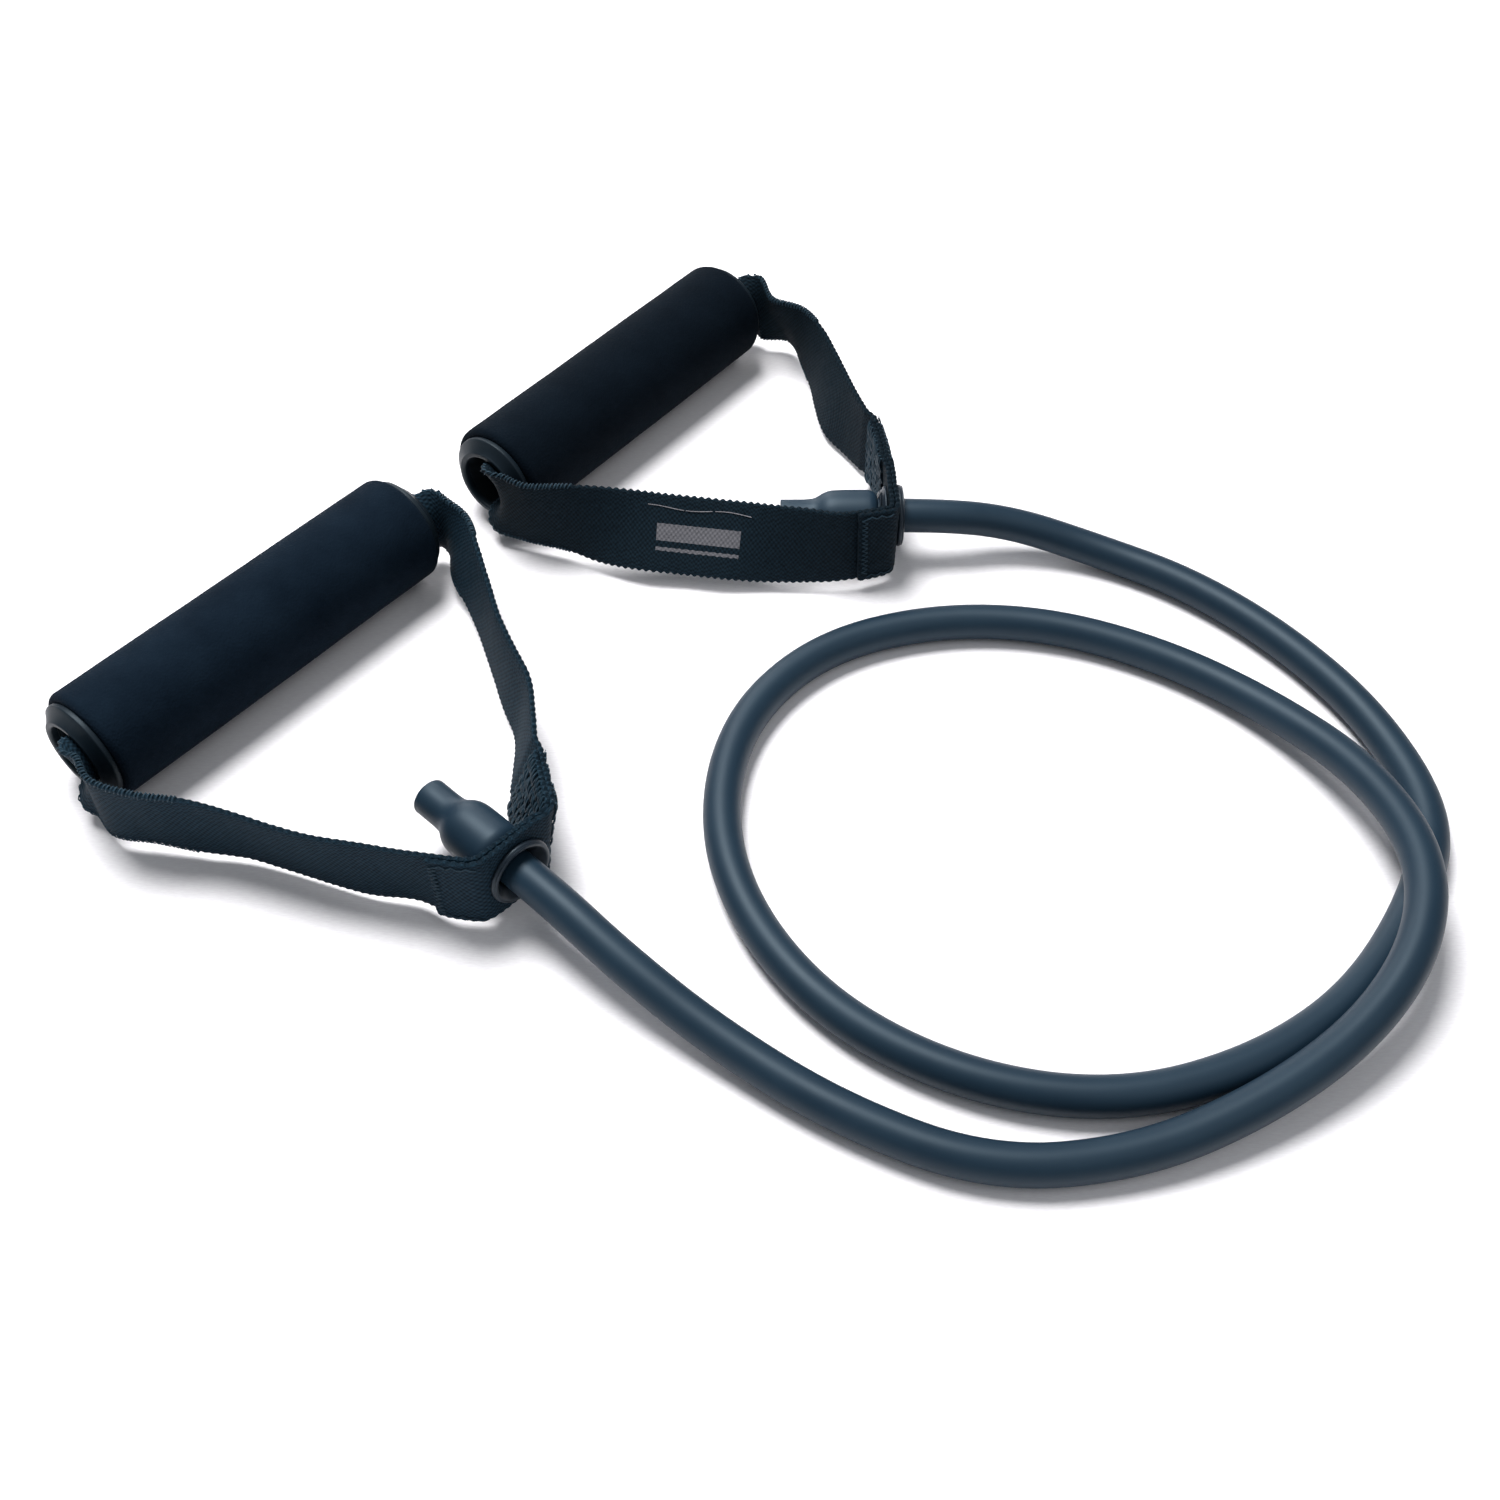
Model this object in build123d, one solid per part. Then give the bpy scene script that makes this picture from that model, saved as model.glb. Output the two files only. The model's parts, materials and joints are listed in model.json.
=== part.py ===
from build123d import *
import os
from math import cos, dist, pi, radians, sin, tan

# Resistance band: one length of rubber tube between two stirrup handles, laid on the floor in a loop.
# Millimetres and degrees. The origin is on the floor, under the middle of the two handles. +Z is up.

# Tube
tube_diameter = 11.0
tube_bore = 6.0
tail_length = 11.0
bulge_diameter = 16.8
bulge_length = 20.5
bulge_shoulder = 3.0
bulge_taper = 5.0
plug_diameter = 12.4
plug_inset = 1.5
plug_cone = 3.5
seat_gap = 0.3

# Grip
grip_length = 123.6
foam_diameter = 35.6
foam_edge_radius = 3.0
core_diameter = 24.0
core_bore = 20.0
core_overhang = 2.0
flange_diameter = 31.0
flange_face_diameter = 25.4
flange_depth = 4.5
flange_rim = 1.3
flange_fullness = 0.7
flange_fit_clearance = 0.05
mouth_radius = 0.5

# Webbing
strap_width = 25.4
strap_thickness = 1.6
strap_width_in_bore = 15.0
strap_width_at_leg = 20.0
strap_offset_in_bore = 4.0
strap_bend_radius = 4.0
strap_end_gap = 2.2
doubled_share = 0.8
flat_half_length = 11.0
flat_end_margin = 2.0

# Eyelet and its washer
eyelet_diameter = 19.6
eyelet_bore = 11.8
eyelet_wall = 1.1
eyelet_flange = 2.2
eyelet_edge_radius = 1.0
eyelet_height = 17.0
washer_diameter = 19.0
washer_thickness = 1.6
lip_thickness = 0.8
lip_width = 1.0

# Stitches: one row across the doubled strap on each side of the eyelet
stitch_length = 2.2
stitch_width = 0.6
stitch_height = 0.4
stitch_pitch = 3.4
stitches_in_row = 7

# Where each handle lies, and how its two strap legs run from the ends of the grip to the eyelet.
# The places are for this grip length. A grip of another length keeps its steady end, the one beside the
# other handle (1 for the left end), and its eyelet where they are.
laid_grip_length = 123.6
# A leg's stations are (share of its length, bulge outwards, drop, lean of its top edge outwards).
handles = {
    "front": {
        "place": (-74.1, -40.7),
        "yaw": -128.5,
        "eyelet": (16.5, 124.1),
        "eyelet_turn": -5.0,
        "steady_end": -1,
        "left_leg": [
            (0.12, 7.5, 0.5, 5), (0.3, 7.5, 2, 7), (0.5, 8, 3, 10), (0.7, 9.5, 2.5, 7), (0.88, 10.5, 0.5, 2),
        ],
        "right_leg": [
            (0.12, 5.5, 0.5, 14), (0.3, 9, 2, 10), (0.5, 11, 3, 12), (0.7, 11, 2.5, 17), (0.86, 8, 1, 18),
        ],
    },
    "back": {
        "place": (29.7, 81.5),
        "yaw": -127.0,
        "eyelet": (-1.5, 114.4),
        "eyelet_turn": 38.0,
        "steady_end": 1,
        "left_leg": [
            (0.12, 5.5, 0.5, 0), (0.3, 8.5, 2, -26), (0.5, 11, 3, -41), (0.7, 13.5, 2.5, -29), (0.88, 16, 0.5, -10),
        ],
        "right_leg": [
            (0.12, 7, 0.5, -12), (0.3, 11, 2, 8), (0.5, 8.5, 3, 15), (0.7, 9.5, 2.5, 0), (0.88, 6, 0.5, -7),
        ],
    },
}

# The free tube's route, from the back eyelet down to the floor, round the loop and up to the front one.
# It crosses over itself on the right, in a long low hump. The first and last points are added below.
straight_out = 16.0
floor_line = tube_diameter / 2
route = [
    (163.0, 16.5, 12.0),
    (191.0, 10.0, floor_line),
    (219.0, -6.5, floor_line),
    (244.5, -33.0, floor_line),
    (264.0, -66.0, floor_line),
    (272.5, -105.0, floor_line),
    (262.5, -141.0, floor_line),
    (239.5, -170.5, floor_line),
    (207.0, -189.5, floor_line),
    (169.0, -197.5, floor_line),
    (131.5, -191.5, floor_line),
    (98.0, -171.5, floor_line),
    (75.5, -140.0, floor_line),
    (67.0, -103.5, floor_line),
    (74.5, -65.0, floor_line),
    (99.0, -36.0, floor_line),
    (135.0, -23.5, floor_line),
    (171.0, -25.0, floor_line),
    (205.5, -39.5, floor_line),
    (233.0, -62.5, 7.0),
    (249.5, -96.0, 12.5),
    (255.0, -132.0, 18.5),
    (251.5, -162.0, 18.5),
    (237.0, -187.0, 11.0),
    (210.5, -204.0, floor_line),
    (175.0, -215.5, floor_line),
    (135.0, -216.0, floor_line),
    (99.0, -200.5, floor_line),
    (68.0, -179.0, 7.0),
    (44.0, -160.5, 13.0),
]

tube_radius = tube_diameter / 2
foam_radius = foam_diameter / 2
grip_half = grip_length / 2
bend_start = grip_half + flange_depth + strap_end_gap
barrel_radius = eyelet_bore / 2 + eyelet_wall
strap_inside = -strap_thickness / 2
doubled_thickness = 2 * strap_thickness
doubled_outside = strap_inside + doubled_thickness
washer_back = strap_inside - washer_thickness
eyelet_back = washer_back - lip_thickness
seat = eyelet_back - seat_gap
neck = seat - bulge_length


def grip_shift(handle):
    """How far the grip's middle moves along it, for a length other than the one it was laid out for."""
    return -handle["steady_end"] * (grip_length - laid_grip_length) / 2


def handle_place(handle):
    """The handle's own frame: X to its left end, Y to its eyelet, and Z up from the floor."""
    x, y = handle["place"]
    return Pos(x, y, 0) * Rot(0, 0, handle["yaw"]) * Pos(grip_shift(handle), 0, 0)


def eyelet_point(handle):
    """The middle of the eyelet in the handle's own frame, seen from above."""
    x, y = handle["eyelet"]
    return x - grip_shift(handle), y


def eyelet_place(handle):
    """The eyelet's frame in the handle's own: X to the left along the strap, Z out along the tube."""
    x, y = eyelet_point(handle)
    turn = radians(handle["eyelet_turn"])
    across = (cos(turn), sin(turn), 0)
    out = (-sin(turn), cos(turn), 0)
    return Plane(origin=(x, y, eyelet_height), x_dir=across, z_dir=out).location


def turned(outline):
    """A solid of revolution about Z, from a closed outline drawn as (radius, height)."""
    return revolve(Plane.XZ * make_face(outline), Axis.Z)


def along_grip(shape, side=1):
    """Lays a shape made about Z along the grip, pointing to its left end (side 1) or its right one (-1)."""
    return Pos(0, 0, foam_radius) * Rot(0, 90 * side, 0) * shape


def core_tube():
    length = grip_length + 2 * core_overhang
    return along_grip(Cylinder(core_diameter / 2, length) - Cylinder(core_bore / 2, length))


def foam_grip():
    sleeve = Cylinder(foam_radius, grip_length)
    sleeve = fillet(sleeve.edges().filter_by(GeomType.CIRCLE), foam_edge_radius)
    return along_grip(sleeve - Cylinder(core_diameter / 2, grip_length))


def flange(side):
    """End ring: a socket over the end of the core tube, a domed face and a rounded mouth."""
    socket = core_diameter / 2 + flange_fit_clearance
    rim = flange_diameter / 2
    face = flange_face_diameter / 2
    mouth = core_bore / 2
    dome = (
        face + flange_fullness * (rim - face),
        flange_rim + flange_fullness * (flange_depth - flange_rim),
    )
    outline = Line((face, flange_depth), (mouth + mouth_radius, flange_depth))
    outline += TangentArc(
        (mouth + mouth_radius, flange_depth),
        (mouth, flange_depth - mouth_radius),
        tangent=(-1, 0),
    )
    outline += Polyline(
        (mouth, flange_depth - mouth_radius),
        (mouth, core_overhang),
        (socket, core_overhang),
        (socket, 0),
        (rim, 0),
        (rim, flange_rim),
    )
    outline += ThreePointArc((rim, flange_rim), dome, (face, flange_depth))
    return along_grip(Pos(0, 0, grip_half) * turned(outline), side)


def bend_stations(side):
    """The strap's turn out of the bore, as stations (x, y, z, lean, width, thickness)."""
    in_bore = (side * grip_half, strap_offset_in_bore, foam_radius)
    stations = [(*in_bore, 0, strap_width_in_bore, strap_thickness)]
    for turn in (0, 30, 60, 90):
        x = bend_start + strap_bend_radius * sin(radians(turn))
        y = strap_offset_in_bore + strap_bend_radius * (1 - cos(radians(turn)))
        width = strap_width_in_bore + (strap_width_at_leg - strap_width_in_bore) * turn / 90
        stations.append((side * x, y, foam_radius, 0, width, strap_thickness))
    return stations


def leg_stations(handle, side):
    """The strap leg from the left end of the grip (side 1) or the right one (-1) to the eyelet."""
    start = (side * (bend_start + strap_bend_radius), strap_offset_in_bore + strap_bend_radius)
    end = eyelet_point(handle)
    length = dist(start, end)
    along = ((end[0] - start[0]) / length, (end[1] - start[1]) / length)
    outward = (side * along[1], -side * along[0])
    stations = []
    for share, bulge, drop, lean in handle["left_leg" if side > 0 else "right_leg"]:
        x = start[0] + share * length * along[0] + bulge * outward[0]
        y = start[1] + share * length * along[1] + bulge * outward[1]
        z = foam_radius + share * (eyelet_height - foam_radius) - drop
        thickness = doubled_thickness if share > doubled_share else strap_thickness
        stations.append((x, y, z, lean, strap_width, thickness))
    return stations


def flat_stations(handle):
    """The strap's flat stretch under the eyelet, from left to right."""
    x, y = eyelet_point(handle)
    turn = radians(handle["eyelet_turn"])
    end = flat_half_length + flat_end_margin
    stations = []
    for reach in (end, flat_half_length, -flat_half_length, -end):
        place = (x + reach * cos(turn), y + reach * sin(turn), eyelet_height)
        stations.append((*place, 0, strap_width, doubled_thickness))
    return stations


def mix(a, b, share):
    return tuple(p + (q - p) * share for p, q in zip(a, b))


def between(a, b, c, d, share):
    """A station between b and c, on the smooth curve (centripetal Catmull-Rom) through all four."""
    knots = [0.0]
    for p, q in ((a, b), (b, c), (c, d)):
        knots.append(knots[-1] + dist(p[:3], q[:3]) ** 0.5)
    at = knots[1] + (knots[2] - knots[1]) * share
    first = mix(a, b, at / knots[1])
    second = mix(b, c, share)
    third = mix(c, d, (at - knots[2]) / (knots[3] - knots[2]))
    early = mix(first, second, at / knots[2])
    late = mix(second, third, (at - knots[1]) / (knots[3] - knots[1]))
    return mix(early, late, share)


def half_strap(handle, side):
    """Stations from the middle of the grip, round its end and up the leg to the flat at the eyelet."""
    steps = 4
    bend = bend_stations(side)
    named = bend[-2:] + leg_stations(handle, side) + flat_stations(handle)[::side][:2]
    leg = [
        between(*named[i - 1 : i + 3], step / steps)
        for i in range(1, len(named) - 2)
        for step in range(steps)
    ]
    return bend[:-1] + leg


def strap_rings(handle):
    """The strap's closed loop as rings of four corners: inside and outside, bottom and top."""
    stations = half_strap(handle, 1) + flat_stations(handle) + half_strap(handle, -1)[::-1]
    rings = []
    for i, (x, y, z, lean, width, thickness) in enumerate(stations):
        before = Vector(*stations[i - 1][:3])
        after = Vector(*stations[(i + 1) % len(stations)][:3])
        along = (after - before).normalized()
        outward = Vector(along.Y, -along.X, 0).normalized()
        across = outward * sin(radians(lean)) + Vector(0, 0, 1) * cos(radians(lean))
        out = along.cross(across).normalized()
        inner = Vector(x, y, z) + out * strap_inside
        outer = inner + out * thickness
        half = across * (width / 2)
        rings.append((inner - half, outer - half, outer + half, inner + half))
    return rings


def webbing_strap(handle):
    """The webbing as a closed band of flat facets, with the hole for the eyelet's barrel."""
    rings = strap_rings(handle)
    faces = []
    for ring, following in zip(rings, rings[1:] + rings[:1]):
        for k in range(4):
            a, b = ring[k], ring[(k + 1) % 4]
            c, d = following[(k + 1) % 4], following[k]
            faces.append(Face(Wire.make_polygon([a, b, c], close=True)))
            faces.append(Face(Wire.make_polygon([a, c, d], close=True)))
    hole = eyelet_place(handle) * Cylinder(barrel_radius, 4 * doubled_thickness)
    return Part() + Solid(Shell(faces)) - hole


def stitching(handle):
    """Raised threads on the outside of the flat stretch, in a row on each side of the eyelet."""
    row = [(k - (stitches_in_row - 1) / 2) * stitch_pitch for k in range(stitches_in_row)]
    reach = flat_half_length + flat_end_margin / 2
    height = doubled_outside + stitch_height / 2
    places = [Pos(side * reach, place, height) for side in (-1, 1) for place in row]
    thread = Box(stitch_width, stitch_length, stitch_height)
    return Compound([eyelet_place(handle) * place * thread for place in places])


def eyelet(handle):
    """Eyelet: a rounded flange outside the strap, a barrel through it and a rolled lip inside."""
    bore = eyelet_bore / 2
    rim = eyelet_diameter / 2
    edge = eyelet_edge_radius
    front = doubled_outside + eyelet_flange
    outline = Polyline(
        (bore, front - edge),
        (bore, eyelet_back),
        (barrel_radius + lip_width, eyelet_back),
        (barrel_radius + lip_width, washer_back),
        (barrel_radius, washer_back),
        (barrel_radius, doubled_outside),
        (rim, doubled_outside),
        (rim, front - edge),
    )
    outline += TangentArc((rim, front - edge), (rim - edge, front), tangent=(0, 1))
    outline += Line((rim - edge, front), (bore + edge, front))
    outline += TangentArc((bore + edge, front), (bore, front - edge), tangent=(-1, 0))
    return eyelet_place(handle) * turned(outline)


def eyelet_washer(handle):
    ring = Cylinder(washer_diameter / 2, washer_thickness) - Cylinder(barrel_radius, washer_thickness)
    return eyelet_place(handle) * Pos(0, 0, strap_inside - washer_thickness / 2) * ring


def plug_shape():
    thin = tube_bore / 2
    thick = plug_diameter / 2
    front = seat - plug_inset
    back = neck + plug_inset
    outline = Polyline(
        (0, front),
        (thin, front),
        (thick, front - plug_cone),
        (thick, back + plug_cone),
        (thin, back),
        (0, back),
        close=True,
    )
    return turned(outline)


def tube_end(handle):
    """The tube's own end: swollen over the plug, then its open tail."""
    thin = tube_radius
    thick = bulge_diameter / 2
    bore = tube_bore / 2
    tail = neck - tail_length
    cheek = (thin + 0.7 * (thick - thin), seat - 0.3 * bulge_shoulder)
    outline = Line((bore, seat), (thin, seat))
    outline += ThreePointArc((thin, seat), cheek, (thick, seat - bulge_shoulder))
    outline += Line((thick, seat - bulge_shoulder), (thick, neck + bulge_taper))
    outline += Polyline((thick, neck + bulge_taper), (thin, neck), (thin, tail), (bore, tail), (bore, seat))
    return eyelet_place(handle) * (turned(outline) - plug_shape())


def tube_plug(handle):
    return eyelet_place(handle) * plug_shape()


def out_of_eyelet(handle, reach):
    """A point on the tube's axis, this far out from the middle of the strap at the eyelet."""
    place = handle_place(handle) * eyelet_place(handle) * Pos(0, 0, reach)
    return tuple(place.position)


def band_tube():
    """The free length of the tube: straight runs joined by arcs as large as the runs allow."""
    back, front = handles["back"], handles["front"]
    points = [out_of_eyelet(back, seat), out_of_eyelet(back, straight_out)] + route
    points += [out_of_eyelet(front, straight_out), out_of_eyelet(front, seat)]
    corners = [Vector(*point) for point in points]
    radii = []
    for before, corner, after in zip(corners, corners[1:], corners[2:]):
        turn = (corner - before).get_angle(after - corner)
        shorter = min((corner - before).length, (after - corner).length)
        radii.append(0.45 * shorter / tan(radians(turn / 2)))
    path = FilletPolyline(*points, radius=radii)
    start = Plane(origin=path @ 0, z_dir=path % 0)
    tube = sweep(start * (Circle(tube_radius) - Circle(tube_bore / 2)), path)
    section = pi * (tube_radius**2 - (tube_bore / 2) ** 2)
    print("tube radii:", " ".join(f"{radius:.0f}" for radius in radii))
    fullness = tube.volume / section / path.length
    print(f"tube length {path.length:.1f} mm, volume over section times length {fullness:.4f}")
    return tube


def handle_nodes(handle):
    """Each piece of one handle, and of the end of the tube in it, in the handle's own frame."""
    return {
        "core_tube": core_tube(),
        "left_flange": flange(1),
        "right_flange": flange(-1),
        "foam_grip": foam_grip(),
        "webbing_strap": webbing_strap(handle),
        "stitching": stitching(handle),
        "eyelet": eyelet(handle),
        "eyelet_washer": eyelet_washer(handle),
        "tube_end": tube_end(handle),
        "tube_plug": tube_plug(handle),
    }


nodes = {"band_tube": band_tube()}
for side_name, side_handle in handles.items():
    for piece_name, piece in handle_nodes(side_handle).items():
        nodes[f"{side_name}_{piece_name}"] = handle_place(side_handle) * piece

os.makedirs("parts", exist_ok=True)
for node_name, shape in nodes.items():
    export_step(shape, f"parts/{node_name}.step")
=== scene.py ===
import json
import math
import random

import bpy
from mathutils import Matrix, Vector, noise


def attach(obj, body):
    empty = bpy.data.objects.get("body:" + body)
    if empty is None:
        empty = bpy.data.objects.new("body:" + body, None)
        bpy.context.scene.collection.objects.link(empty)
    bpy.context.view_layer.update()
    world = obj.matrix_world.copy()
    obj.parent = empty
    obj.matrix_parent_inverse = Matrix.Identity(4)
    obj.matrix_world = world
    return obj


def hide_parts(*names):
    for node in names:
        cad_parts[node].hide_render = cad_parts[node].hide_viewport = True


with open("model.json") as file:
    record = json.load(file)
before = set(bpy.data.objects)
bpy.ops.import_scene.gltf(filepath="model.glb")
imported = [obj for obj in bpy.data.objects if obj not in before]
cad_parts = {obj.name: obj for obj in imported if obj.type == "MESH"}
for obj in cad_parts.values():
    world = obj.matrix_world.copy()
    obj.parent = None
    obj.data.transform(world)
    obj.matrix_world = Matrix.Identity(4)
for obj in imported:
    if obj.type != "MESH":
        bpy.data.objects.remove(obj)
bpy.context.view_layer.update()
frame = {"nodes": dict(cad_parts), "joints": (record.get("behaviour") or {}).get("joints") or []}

# Sizes in metres unless a name says otherwise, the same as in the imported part.
MM = 0.001
TUBE_RADIUS = 5.5 * MM
GRIP_HALF = 61.8 * MM
FOAM_RADIUS = 17.8 * MM
RING_FACE = 66.4 * MM
WEB_WIDTH = 25.4 * MM
WEB_THICKNESS = 1.5 * MM
LAYER = 1.6 * MM
FACE = LAYER / 2
HOLE_RADIUS = 7.9 * MM
SEAT = -3.5 * MM
UP = Vector((0, 0, 1))
TURN_SIDES = 96
EDGE_LOOP_PITCH = 1.15 * MM

# A strap leg's stations: share of the line from the grip's end to the eyelet, bulge outwards in mm,
# drop in mm, and lean of the top edge outwards in degrees. lap is how far the doubled webbing runs
# each side of the eyelet, in mm along the strap.
STRAPS = {
    "front": {
        "left": [
            (0.1, 8.2, 0.5, 3), (0.2, 8.7, 1, 8), (0.3, 7.4, 2, 6), (0.4, 6.9, 2.5, 10), (0.5, 8.0, 3, 10),
            (0.6, 9.2, 3, 9), (0.7, 9.6, 2.5, 6), (0.8, 9.3, 1.5, 8), (0.88, 10.5, 0.5, 2),
        ],
        "right": [
            (0.1, 5.7, 0.5, 15), (0.2, 7.8, 1, 13), (0.3, 9.1, 2, 10), (0.4, 9.9, 2.5, 9), (0.5, 11.3, 3, 12),
            (0.6, 13.1, 3, 14), (0.7, 10.9, 2.5, 18), (0.8, 8.2, 1.5, 22), (0.88, 8.2, 0.5, 21),
        ],
        "lap": (24.0, 36.0),
    },
    "back": {
        "left": [
            (0.1, 6.0, 0.5, 4), (0.2, 7.2, 1, -6), (0.3, 8.9, 2, -26), (0.4, 10.1, 2.5, -41),
            (0.5, 10.8, 3, -41), (0.6, 12, 3, -41), (0.7, 13.5, 2.5, -29), (0.8, 14.9, 1.5, -18),
            (0.88, 16, 0.5, -9),
        ],
        "right": [
            (0.1, 7.1, 0.5, -23), (0.2, 11.3, 1, -2), (0.3, 11.6, 2, 8), (0.4, 9.8, 2.5, 14),
            (0.5, 8.4, 3, 16), (0.6, 9.0, 3, 7), (0.7, 9.4, 2.5, 0), (0.8, 7.7, 1.5, -3),
            (0.88, 5.8, 0.5, -8),
        ],
        "lap": (22.0, 38.0),
    },
}

# Plain printed stripes on the left leg's outer face: from and to along it before the eyelet, in mm, and from
# and to across it, as shares of the width.
STRIPES = {
    "front": [],
    "back": [(-87.5, -60.0, 0.42, 0.6), (-87.5, -60.0, 0.31, 0.35)],
}

# The free tube's route between the eyelets, in metres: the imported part's points, with nine at the crossing
# moved by up to 8 mm.
ROUTE = [
    (0.1630, 0.0165, 0.0120),
    (0.1910, 0.0100, 0.0055),
    (0.2190, -0.0065, 0.0055),
    (0.2445, -0.0330, 0.0055),
    (0.2640, -0.0660, 0.0055),
    (0.2725, -0.1050, 0.0055),
    (0.2600, -0.1345, 0.0055),
    (0.2360, -0.1665, 0.0055),
    (0.2055, -0.1870, 0.0055),
    (0.1690, -0.1975, 0.0055),
    (0.1315, -0.1915, 0.0055),
    (0.0980, -0.1715, 0.0055),
    (0.0755, -0.1400, 0.0055),
    (0.0670, -0.1035, 0.0055),
    (0.0745, -0.0650, 0.0055),
    (0.0990, -0.0360, 0.0055),
    (0.1350, -0.0235, 0.0055),
    (0.1710, -0.0250, 0.0055),
    (0.2055, -0.0395, 0.0055),
    (0.2330, -0.0625, 0.0070),
    (0.2525, -0.0935, 0.0135),
    (0.2600, -0.1280, 0.0185),
    (0.2525, -0.1565, 0.0175),
    (0.2335, -0.1800, 0.0125),
    (0.2050, -0.1990, 0.0085),
    (0.1720, -0.2125, 0.0055),
    (0.1350, -0.2160, 0.0055),
    (0.0990, -0.2005, 0.0055),
    (0.0680, -0.1790, 0.0070),
    (0.0440, -0.1605, 0.0130),
]
STRAIGHT_OUT = 16.0 * MM


# Frames of the handles and their eyelets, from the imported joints


def joint(name):
    return next(j for j in frame["joints"] if j["name"] == name)


def grip_frame(name):
    """The handle's own frame: X along the grip to its left end, Y towards its eyelet, Z up."""
    spin = joint(f"{name}_spin")
    x = Vector(spin["axis"]).normalized()
    y = UP.cross(x)
    origin = Vector((spin["pos_m"][0], spin["pos_m"][1], 0))
    return Matrix.Translation(origin) @ Matrix((x, y, UP)).transposed().to_4x4()


def eyelet_frame(name):
    """The eyelet's frame: Z out along the tube, X to the left along the strap."""
    swivel = joint(f"{name}_swivel")
    z = Vector(swivel["axis"]).normalized()
    x = Vector((z.y, -z.x, 0))
    y = z.cross(x)
    return Matrix.Translation(Vector(swivel["pos_m"])) @ Matrix((x, y, z)).transposed().to_4x4()


# Camera, and the tube, which is the only cord


def make_camera():
    data = bpy.data.cameras.new("camera")
    data.sensor_width = 36
    data.lens = 41.28
    camera = bpy.data.objects.new("camera", data)
    camera.location = (0.077, -0.4193, 0.3821)
    camera.rotation_euler = (math.radians(42.107), 0, 0)
    bpy.context.scene.collection.objects.link(camera)
    bpy.context.scene.camera = camera


def out_of_eyelet(name, reach):
    return eyelet_frame(name) @ Vector((0, 0, reach))


def make_tube():
    data = bpy.data.curves.new("tube", "CURVE")
    data.dimensions = "3D"
    points = [out_of_eyelet("back", SEAT), out_of_eyelet("back", STRAIGHT_OUT), *ROUTE]
    points += [out_of_eyelet("front", STRAIGHT_OUT), out_of_eyelet("front", SEAT)]
    spline = data.splines.new("NURBS")
    spline.points.add(len(points) - 1)
    for at, point in zip(spline.points, points):
        at.co = (*point, 1)
    spline.order_u = 3
    spline.use_endpoint_u = True
    spline.use_smooth = True
    data.resolution_u = 16
    data.bevel_depth = TUBE_RADIUS
    data.bevel_resolution = 10
    tube = bpy.data.objects.new("tube", data)
    bpy.context.scene.collection.objects.link(tube)
    return tube


make_camera()
tube = make_tube()


# Modelling helpers


def deselect():
    bpy.ops.object.select_all(action="DESELECT")


def put(piece, place):
    """Applies a place to a finished piece's mesh, so that its object stays at the origin."""
    piece.data.transform(place)
    piece.data.update()
    return piece


def smooth(piece, angle=40):
    deselect()
    piece.select_set(True)
    bpy.context.view_layer.objects.active = piece
    bpy.ops.object.shade_smooth_by_angle(angle=math.radians(angle))


def turned(name, outline, sides=TURN_SIDES):
    """Turns a closed outline of (radius, height) points: a circle extruded and scaled ring by ring."""
    deselect()
    radius, height = outline[0]
    bpy.ops.mesh.primitive_circle_add(vertices=sides, radius=radius)
    piece = bpy.context.object
    piece.name = name
    bpy.ops.object.mode_set(mode="EDIT")
    bpy.ops.mesh.select_all(action="SELECT")
    bpy.ops.transform.translate(value=(0, 0, height))
    for next_radius, next_height in outline[1:] + outline[:1]:
        bpy.ops.mesh.extrude_edges_move(TRANSFORM_OT_translate={"value": (0, 0, next_height - height)})
        grow = next_radius / radius
        bpy.ops.transform.resize(value=(grow, grow, 1), center_override=(0, 0, next_height))
        radius, height = next_radius, next_height
    bpy.ops.mesh.select_all(action="SELECT")
    bpy.ops.mesh.remove_doubles(threshold=0.000005)
    bpy.ops.mesh.normals_make_consistent(inside=False)
    bpy.ops.object.mode_set(mode="OBJECT")
    return piece


def arc(centre, radii, start, end, steps):
    """Points (radius, height) on an ellipse's arc, from one angle to another in degrees."""
    points = []
    for i in range(steps + 1):
        a = math.radians(start + (end - start) * i / steps)
        points.append((centre[0] + radii[0] * math.cos(a), centre[1] + radii[1] * math.sin(a)))
    return points


def in_mm(points):
    return [(r * MM, h * MM) for r, h in points]


def strands(name, threads, sides=1):
    """Threads as (line, radius) pairs: a curve with one line for each stitch, made a mesh."""
    data = bpy.data.curves.new(name, "CURVE")
    data.dimensions = "3D"
    data.bevel_depth = 1 * MM
    data.bevel_resolution = sides
    data.use_fill_caps = True
    for line, radius in threads:
        spline = data.splines.new("POLY")
        spline.points.add(len(line) - 1)
        for at, point in zip(spline.points, line):
            at.co = (*point, 1)
            at.radius = radius / MM
    curve = bpy.data.objects.new(name, data)
    bpy.context.scene.collection.objects.link(curve)
    deselect()
    curve.select_set(True)
    bpy.context.view_layer.objects.active = curve
    bpy.ops.object.convert(target="MESH")
    piece = bpy.context.object
    smooth(piece, 60)
    return piece


# Materials

COOL = (0.74, 0.9, 1.0)
# Painted shade: a factor on each handle's foam and webbing colours. The back one's colours are halved to
# stand in for the shade it is in; the front one keeps its full colours.
PAINTED_SHADE = {"front": 1.0, "back": 0.5}


# Darkens a colour by its handle's painted shade factor.
def with_painted_shade(name, colour):
    return tuple(part * PAINTED_SHADE[name] for part in colour)


def new_material(name, roughness, specular=0.5):
    made = bpy.data.materials.new(name)
    made.use_nodes = True
    shader = made.node_tree.nodes["Principled BSDF"]
    shader.inputs["Roughness"].default_value = roughness
    shader.inputs["Specular IOR Level"].default_value = specular
    shader.inputs["Specular Tint"].default_value = (*COOL, 1)
    return made, shader


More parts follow.
